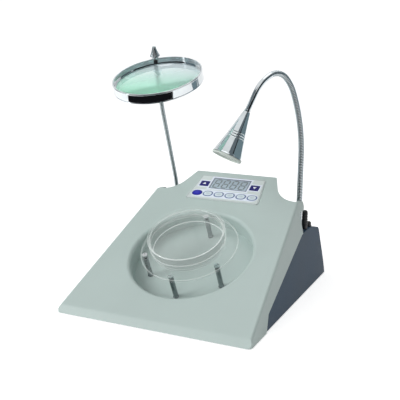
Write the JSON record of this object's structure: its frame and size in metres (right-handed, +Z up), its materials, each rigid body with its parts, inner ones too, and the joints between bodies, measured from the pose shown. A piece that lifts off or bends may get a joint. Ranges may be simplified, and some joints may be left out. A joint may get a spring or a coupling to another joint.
{
  "type": "colony counter",
  "caption": "Sloping bench instrument that counts colonies: dish on a clear tray in a round well, keypad with display, lamp and magnifier on flexible necks.",
  "frame": {"origin": "middle of the whole width and length, on the bench", "axes": "+Z up, -Y towards the person using it, +X to that person's right (the lamp's side)"},
  "size_m": [0.2416, 0.2882, 0.3018],
  "materials": {
    "shell": "fine satin moulded plastic, pale grey-green",
    "base": "fine textured moulded plastic, dark blue-grey",
    "plate": "powder-coated sheet",
    "feet": "matt black rubber",
    "screws": "zinc-plated steel",
    "membrane": "satin printed film",
    "window": "clear tinted window",
    "display": "display module",
    "board": "glass-fibre circuit board",
    "supply": "wound transformer on a board",
    "black": "black moulded plastic",
    "red": "red switch rocker",
    "nuts": "bright plated collar",
    "clear": "clear acrylic",
    "posts": "turned steel posts",
    "dish": "clear dish",
    "key_dark": "dark blue printed key",
    "key_blue": "blue printed key",
    "key_pale": "pale printed key",
    "neck": "bright spiral-wound hose",
    "shade": "polished spun aluminium",
    "rim": "pale lip",
    "diffuser": "white diffuser",
    "reflector": "bright reflector",
    "bulb": "frosted lamp",
    "clamp": "satin metal clamp",
    "ring": "bright plated band",
    "lens": "ground and polished glass"
  },
  "bodies": {
    "housing": {"upper_shell": "shell", "base_housing": "base", "bottom_plate": "plate", "rubber_feet": "feet", "case_screws": "screws", "keypad_membrane": "membrane", "display_window": "window", "display_module": "display", "key_board": "board", "main_board": "board", "power_supply": "supply", "pen_post": "black", "pen_jack": "black", "power_inlet": "black", "switch_frame": "black", "fuse_holder": "black", "lamp_foot": "nuts", "lens_foot": "nuts", "tray": "clear", "tray_posts": "posts", "tray_screws": "screws"},
    "rocker": {"switch_rocker": "red"},
    "dish": {"dish_base": "dish"},
    "lid": {"dish_lid": "dish"},
    "lamp_stem": {"lamp_neck_lower": "neck"},
    "lamp_head": {"lamp_neck_upper": "neck", "lamp_sleeve": "nuts", "lamp_shade": "shade", "lamp_rim": "rim", "lamp_diffuser": "diffuser", "lamp_reflector": "reflector", "lamp_bulb": "bulb"},
    "lens_stem": {"lens_neck_lower": "neck"},
    "lens_arm": {"lens_neck_upper": "neck"},
    "magnifier": {"lens_clamp": "clamp", "clamp_screw": "black", "lens_ring": "ring", "lens_retainer": "ring", "lens_glass": "lens"},
    "up_key": {"up_key": "key_dark"},
    "down_key": {"down_key": "key_dark"},
    "round_key_1": {"round_key_1": "key_blue"},
    "round_key_2": {"round_key_2": "key_pale"},
    "round_key_3": {"round_key_3": "key_pale"},
    "round_key_4": {"round_key_4": "key_pale"},
    "round_key_5": {"round_key_5": "key_pale"},
    "round_key_6": {"round_key_6": "key_pale"}
  },
  "joints": [
    {"name": "up_key_press", "type": "slide", "parent": "housing", "child": "up_key", "axis": [0, 0.4462, -0.8949], "range_m": [0, 0.0008], "stiffness_N_per_m": 600, "springref_m": -0.0008},
    {"name": "down_key_press", "type": "slide", "parent": "housing", "child": "down_key", "axis": [0, 0.4462, -0.8949], "range_m": [0, 0.0008], "stiffness_N_per_m": 600, "springref_m": -0.0008},
    {"name": "round_key_1_press", "type": "slide", "parent": "housing", "child": "round_key_1", "axis": [0, 0.4462, -0.8949], "range_m": [0, 0.0008], "stiffness_N_per_m": 600, "springref_m": -0.0008},
    {"name": "round_key_2_press", "type": "slide", "parent": "housing", "child": "round_key_2", "axis": [0, 0.4462, -0.8949], "range_m": [0, 0.0008], "stiffness_N_per_m": 600, "springref_m": -0.0008},
    {"name": "round_key_3_press", "type": "slide", "parent": "housing", "child": "round_key_3", "axis": [0, 0.4462, -0.8949], "range_m": [0, 0.0008], "stiffness_N_per_m": 600, "springref_m": -0.0008},
    {"name": "round_key_4_press", "type": "slide", "parent": "housing", "child": "round_key_4", "axis": [0, 0.4462, -0.8949], "range_m": [0, 0.0008], "stiffness_N_per_m": 600, "springref_m": -0.0008},
    {"name": "round_key_5_press", "type": "slide", "parent": "housing", "child": "round_key_5", "axis": [0, 0.4462, -0.8949], "range_m": [0, 0.0008], "stiffness_N_per_m": 600, "springref_m": -0.0008},
    {"name": "round_key_6_press", "type": "slide", "parent": "housing", "child": "round_key_6", "axis": [0, 0.4462, -0.8949], "range_m": [0, 0.0008], "stiffness_N_per_m": 600, "springref_m": -0.0008},
    {"name": "rocker_tip", "type": "hinge", "parent": "housing", "child": "rocker", "pos_m": [0.024, 0.13612, 0.03], "axis": [1, 0, 0], "range_deg": [0, 16]},
    {"name": "dish_lift", "type": "slide", "parent": "housing", "child": "dish", "axis": [0, -0.4462, 0.8949], "range_m": [0, 0.06]},
    {"name": "lid_lift", "type": "slide", "parent": "dish", "child": "lid", "axis": [0, -0.4462, 0.8949], "range_m": [0, 0.04]},
    {"name": "lamp_swing", "type": "hinge", "parent": "housing", "child": "lamp_stem", "pos_m": [0.09, 0.10512, 0.07], "axis": [0, 0, 1], "range_deg": [-15, 40]},
    {"name": "lamp_bend", "type": "hinge", "parent": "lamp_stem", "child": "lamp_head", "pos_m": [0.08081, 0.09199, 0.24541], "axis": [-0.8192, 0.5736, 0], "range_deg": [-8, 20]},
    {"name": "lens_swing", "type": "hinge", "parent": "housing", "child": "lens_stem", "pos_m": [-0.0895, 0.10512, 0.07], "axis": [0, 0, -1], "range_deg": [-10, 40]},
    {"name": "lens_bend", "type": "hinge", "parent": "lens_stem", "child": "lens_arm", "pos_m": [-0.08708, 0.07749, 0.16811], "axis": [-0.9962, -0.0872, 0], "range_deg": [-10, 25]},
    {"name": "lens_turn", "type": "hinge", "parent": "lens_arm", "child": "magnifier", "pos_m": [-0.08327, 0.03389, 0.27938], "axis": [-0.0269, 0.3078, -0.9511], "range_deg": [-10, 40]}
  ]
}
